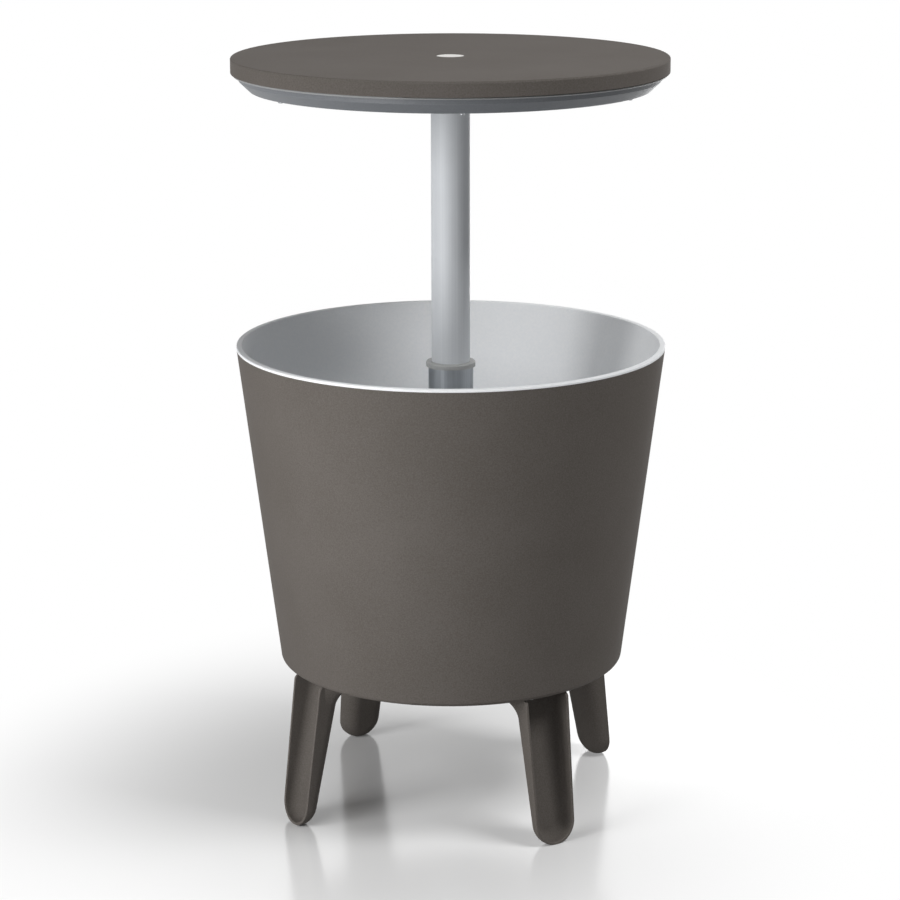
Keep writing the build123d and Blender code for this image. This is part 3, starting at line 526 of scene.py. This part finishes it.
@dataclass
class Thread:
    """Moulded screw thread on the end of a fitting that stands out below its nut."""

    name: str
    fitting: str
    nut: str
    pitch: float
    depth: float
    steps: int = 96
    root_sink: float = 0.3 * MM
    half_share: float = 0.36
    crest_share: float = 0.3
    fades_per_turn: float = 3.0
    end_slice: float = 0.1 * MM

    def build(self) -> None:
        """Make the ridge of the thread on the fitting's outside."""
        low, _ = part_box(self.fitting)
        nut_low, nut_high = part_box(self.nut)
        axis = (nut_low + nut_high) / 2
        radius = self.outside(low.z, axis)
        room = nut_low.z - low.z - self.pitch
        turns = max(room / self.pitch, 1.0)
        mesh = bmesh.new()
        last = None
        count = int(self.steps * turns)
        for i in range(count + 1):
            share = i / count
            turn = 2 * math.pi * turns * share
            fade = min(1.0, share * turns * self.fades_per_turn, (1 - share) * turns * self.fades_per_turn)
            out = Vector((math.cos(turn), math.sin(turn), 0.0))
            foot = Vector((axis.x, axis.y, low.z + self.pitch / 2 + room * share))
            half = self.pitch * self.half_share
            flat = half * self.crest_share
            sunk = radius - self.root_sink
            crest = sunk + (self.root_sink + self.depth) * fade
            here = [
                mesh.verts.new(foot + out * r + Vector((0, 0, z)))
                for r, z in ((sunk, -half), (crest, -flat), (crest, flat), (sunk, half))
            ]
            if last:
                for a in range(4):
                    b = (a + 1) % 4
                    mesh.faces.new((last[a], last[b], here[b], here[a]))
            else:
                mesh.faces.new(here)
            last = here
        mesh.faces.new(last)
        mesh_piece(self.name, mesh, GREY_ACETAL, Body.TUB)

    def outside(self, level: float, axis: Vector) -> float:
        """Measure the fitting's outside at its lower end.

        Args:
            level: the height of the lower end.
            axis: a point on the fitting's axis.

        Returns:
            The outside radius there.
        """
        top = level + self.end_slice
        points = (v.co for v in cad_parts[self.fitting].data.vertices if v.co.z < top)
        return max(math.hypot(p.x - axis.x, p.y - axis.y) for p in points)


@dataclass
class Tub:
    """The double-walled tub on its four legs, with the guide in its middle and the drain in its floor."""

    leg_screw_head: float = 2.8 * MM
    guide_pitch: float = 3.0 * MM
    guide_thread: float = 0.9 * MM
    drain_pitch: float = 2.0 * MM
    drain_thread: float = 0.6 * MM

    def build(self) -> None:
        """Make the pieces that the CAD has only in plain form."""
        CrossScrews("leg_screws", Body.TUB, self.leg_screw_head).build()
        Thread("guide_base_thread", "guide_base", "guide_nut", self.guide_pitch, self.guide_thread).build()
        Thread("drain_spout_thread", "drain_spout", "drain_nut", self.drain_pitch, self.drain_thread).build()

    def dress(self) -> None:
        """Give the tub's CAD nodes their finishes."""
        taupe = ["outer_shell", "leg_front_left", "leg_front_right", "leg_rear_left", "leg_rear_right"]
        acetal = ["guide_collar", "guide_base", "guide_nut", "guide_end_plug", "drain_spout", "drain_nut"]
        dress_nodes(dict.fromkeys(taupe, TAUPE_POLYPROPYLENE))
        dress_nodes(dict.fromkeys(acetal, GREY_ACETAL))
        dress_nodes({"inner_liner": PALE_POLYETHYLENE, "guide_tube": GUIDE_ALUMINIUM})
        dress_nodes(dict.fromkeys(["guide_seal", "drain_gasket"], SEAL_RUBBER))


@dataclass
class DrainPlug:
    """The rubber plug of the drain."""

    def dress(self) -> None:
        """Give the plug's CAD nodes their finishes."""
        dress_nodes(dict.fromkeys(["drain_plug", "drain_plug_ring"], SEAL_RUBBER))


@dataclass
class Table:
    """The table top with the lid's pan under it, the pole that carries it and the cam at the pole's foot."""

    lid_screw_head: float = 2.2 * MM

    def build(self) -> None:
        """Make the pieces that the CAD has only in plain form."""
        CrossScrews("lid_screws", Body.TABLE, self.lid_screw_head).build()

    def dress(self) -> None:
        """Give the table's CAD nodes their finishes."""
        dress_nodes({"tabletop": TAUPE_POLYPROPYLENE, "lid_pan": GREY_ABS, "centre_cap": IVORY_POLYPROPYLENE})
        dress_nodes({"pole": POLE_ALUMINIUM, "pole_top_plug": GREY_ACETAL, "lock_cam": GREY_ACETAL})
        dress_nodes(dict.fromkeys(["centre_bolt", "centre_washer", "cam_washer", "cam_screw"], SCREW_STEEL))


@dataclass
class LockCarriage:
    """The brake shoes that slide in the guide with the pole, and the band round them."""

    def dress(self) -> None:
        """Give the carriage's CAD nodes their finishes."""
        dress_nodes(dict.fromkeys(["brake_shoe_left", "brake_shoe_right"], GREY_ACETAL))
        dress_nodes({"shoe_band": SEAL_RUBBER})


@dataclass(frozen=True)
class Softbox:
    """Square studio lamp, placed by how the camera sees it from the object's axis, in metres."""

    name: str
    right: float
    towards: float
    height: float
    size: float
    power: float
    aim_height: float = 0.45


@dataclass
class Studio:
    """Camera, lamps, white surroundings and a pale floor with a soft gloss."""

    camera_turn: float = math.radians(11.8)
    camera_distance: float = 3.156
    camera_height: float = 1.2214
    camera_pitch: float = 0.2496
    camera_roll: float = -0.00175
    camera_shift: float = -0.0011
    lens_mm: float = 111.74
    sensor_mm: float = 36.0
    ambient: float = 0.12
    floor_reach: float = 6.0
    floor_lighting: str = "#8c8c8c"
    floor_seen: str = "#ededed"
    floor_roughness: float = 0.16
    floor_ior: float = 2.2
    floor_fade: tuple[float, float] = (0.15, 0.6)
    floor_centre: tuple[float, float] = (-0.1, 0.08)
    floor_squeeze: float = 0.75
    lamps: list[Softbox] = field(
        default_factory=lambda: [
            Softbox("key_left", -1.19, 0.89, 0.3, 0.8, 2.5),
            Softbox("near_left", -0.5, 0.72, 0.4, 0.3, 2.1),
            Softbox("mid_left", -1.7, 1.2, 1.25, 0.8, 20.0),
            Softbox("high_right", 2.1, 0.95, 3.6, 1.4, 88.0),
            Softbox("low_rear", 0.7, -2.1, 0.35, 1.0, 9.0),
        ]
    )

    def build(self) -> None:
        """Set up the whole studio."""
        bpy.context.scene.view_settings.view_transform = "Standard"
        self.add_camera()
        for lamp in self.lamps:
            self.add_lamp(lamp)
        self.fill_world()
        self.add_floor()

    def place(self, right: float, towards: float, height: float) -> Vector:
        """Turn a place as the camera sees it into the object's frame.

        Args:
            right: metres to the camera's right of the object's axis.
            towards: metres from the axis towards the camera.
            height: metres above the floor.

        Returns:
            The place in the object's frame.
        """
        sin, cos = math.sin(self.camera_turn), math.cos(self.camera_turn)
        return Vector((right * cos + towards * sin, right * sin - towards * cos, height))

    def add_camera(self) -> None:
        """Set the camera where the photograph was taken from."""
        data = bpy.data.cameras.new("photo_camera")
        data.lens = self.lens_mm
        data.sensor_width = self.sensor_mm
        data.shift_x = self.camera_shift
        camera = bpy.data.objects.new("photo_camera", data)
        camera.location = self.place(0.0, self.camera_distance, self.camera_height)
        upright = Euler((math.pi / 2 - self.camera_pitch, 0.0, self.camera_turn)).to_matrix()
        camera.rotation_euler = (upright @ Matrix.Rotation(self.camera_roll, 3, "Z")).to_euler()
        bpy.context.scene.collection.objects.link(camera)
        bpy.context.scene.camera = camera

    def add_lamp(self, lamp: Softbox) -> None:
        """Hang one lamp and turn it to the object.

        Args:
            lamp: the lamp's size, power and place.
        """
        data = bpy.data.lights.new(lamp.name, "AREA")
        data.energy = lamp.power
        data.size = lamp.size
        hung = bpy.data.objects.new(lamp.name, data)
        hung.location = self.place(lamp.right, lamp.towards, lamp.height)
        aim = Vector((0.0, 0.0, lamp.aim_height)) - hung.location
        hung.rotation_euler = aim.to_track_quat("-Z", "Y").to_euler()
        bpy.context.scene.collection.objects.link(hung)

    def seen(self, tree: bpy.types.NodeTree) -> bpy.types.NodeSocket:
        """Tell rays that show a surface from rays that only light one.

        Args:
            tree: the node tree of a material or of the world.

        Returns:
            1 for camera, glossy and transmission rays, and 0 for the rest.
        """
        path = add_node(tree, "ShaderNodeLightPath").outputs
        pair = {0: path["Is Camera Ray"], 1: path["Is Glossy Ray"]}
        shown = add_node(tree, "ShaderNodeMath", {"operation": "MAXIMUM"}, pair).outputs[0]
        pair = {0: shown, 1: path["Is Transmission Ray"]}
        return add_node(tree, "ShaderNodeMath", {"operation": "MAXIMUM"}, pair).outputs[0]

    def fill_world(self) -> None:
        """Surround the object with soft light, which looks white where it is seen."""
        world = bpy.data.worlds.new("studio")
        world.use_nodes = True
        bpy.context.scene.world = world
        tree = world.node_tree
        tree.nodes.clear()
        glow = add_node(tree, "ShaderNodeBackground", {"Color": linear("#ffffff"), "Strength": self.ambient})
        white = add_node(tree, "ShaderNodeBackground", {"Color": linear("#ffffff"), "Strength": 1.0})
        shown = add_node(
            tree, "ShaderNodeMixShader", links={0: self.seen(tree), 1: glow.outputs[0], 2: white.outputs[0]}
        )
        add_node(tree, "ShaderNodeOutputWorld", links={"Surface": shown.outputs[0]})

    def add_floor(self) -> None:
        """Lay the floor, which turns white away from the object."""
        reach = self.floor_reach
        data = bpy.data.meshes.new("floor")
        corners = [(-reach, -reach, 0), (reach, -reach, 0), (reach, reach, 0), (-reach, reach, 0)]
        data.from_pydata(corners, [], [(0, 1, 2, 3)])
        data.materials.append(self.floor_material())
        floor = bpy.data.objects.new("floor", data)
        bpy.context.scene.collection.objects.link(floor)

    def floor_material(self) -> bpy.types.Material:
        """Return the floor's material: pale lacquer that mirrors the legs softly and fades to white."""
        made = bpy.data.materials.new("lacquered_board_pale")
        made.use_nodes = True
        tree = made.node_tree
        tree.nodes.clear()
        seen = self.seen(tree)
        settings = {"data_type": "RGBA", 6: linear(self.floor_lighting), 7: linear(self.floor_seen)}
        tone = add_node(tree, "ShaderNodeMix", settings, {0: seen}).outputs[2]
        settings = {"Roughness": self.floor_roughness, "IOR": self.floor_ior}
        board = add_node(tree, "ShaderNodeBsdfPrincipled", settings, {"Base Color": tone})
        white = add_node(tree, "ShaderNodeEmission", {"Color": linear("#ffffff"), "Strength": 1.0})
        spot = add_node(tree, "ShaderNodeTexCoord").outputs["Object"]
        centre = self.place(*self.floor_centre, 0.0)
        stretch = Vector((1.0, 1 / self.floor_squeeze, 1.0))
        settings = {"vector_type": "TEXTURE", "Location": centre, "Scale": stretch}
        oval = add_node(tree, "ShaderNodeMapping", settings, {"Vector": spot})
        away = add_node(
            tree, "ShaderNodeVectorMath", {"operation": "LENGTH"}, {0: oval.outputs["Vector"]}
        ).outputs["Value"]
        near, far = self.floor_fade
        fade = add_node(
            tree,
            "ShaderNodeMapRange",
            {"interpolation_type": "SMOOTHSTEP", "From Min": near, "From Max": far},
            {"Value": away},
        ).outputs["Result"]
        share = add_node(tree, "ShaderNodeMath", {"operation": "MULTIPLY"}, {0: fade, 1: seen}).outputs[0]
        links = {0: share, 1: board.outputs[0], 2: white.outputs[0]}
        shown = add_node(tree, "ShaderNodeMixShader", links=links)
        add_node(tree, "ShaderNodeOutputMaterial", links={"Surface": shown.outputs[0]})
        return made


def main() -> None:
    """Build and dress each sub-assembly, then the studio."""
    logging.basicConfig(level=logging.INFO, format="%(name)s: %(message)s")
    tub = Tub()
    tub.build()
    tub.dress()
    DrainPlug().dress()
    table = Table()
    table.build()
    table.dress()
    LockCarriage().dress()
    Studio().build()


if __name__ == "__main__":
    main()
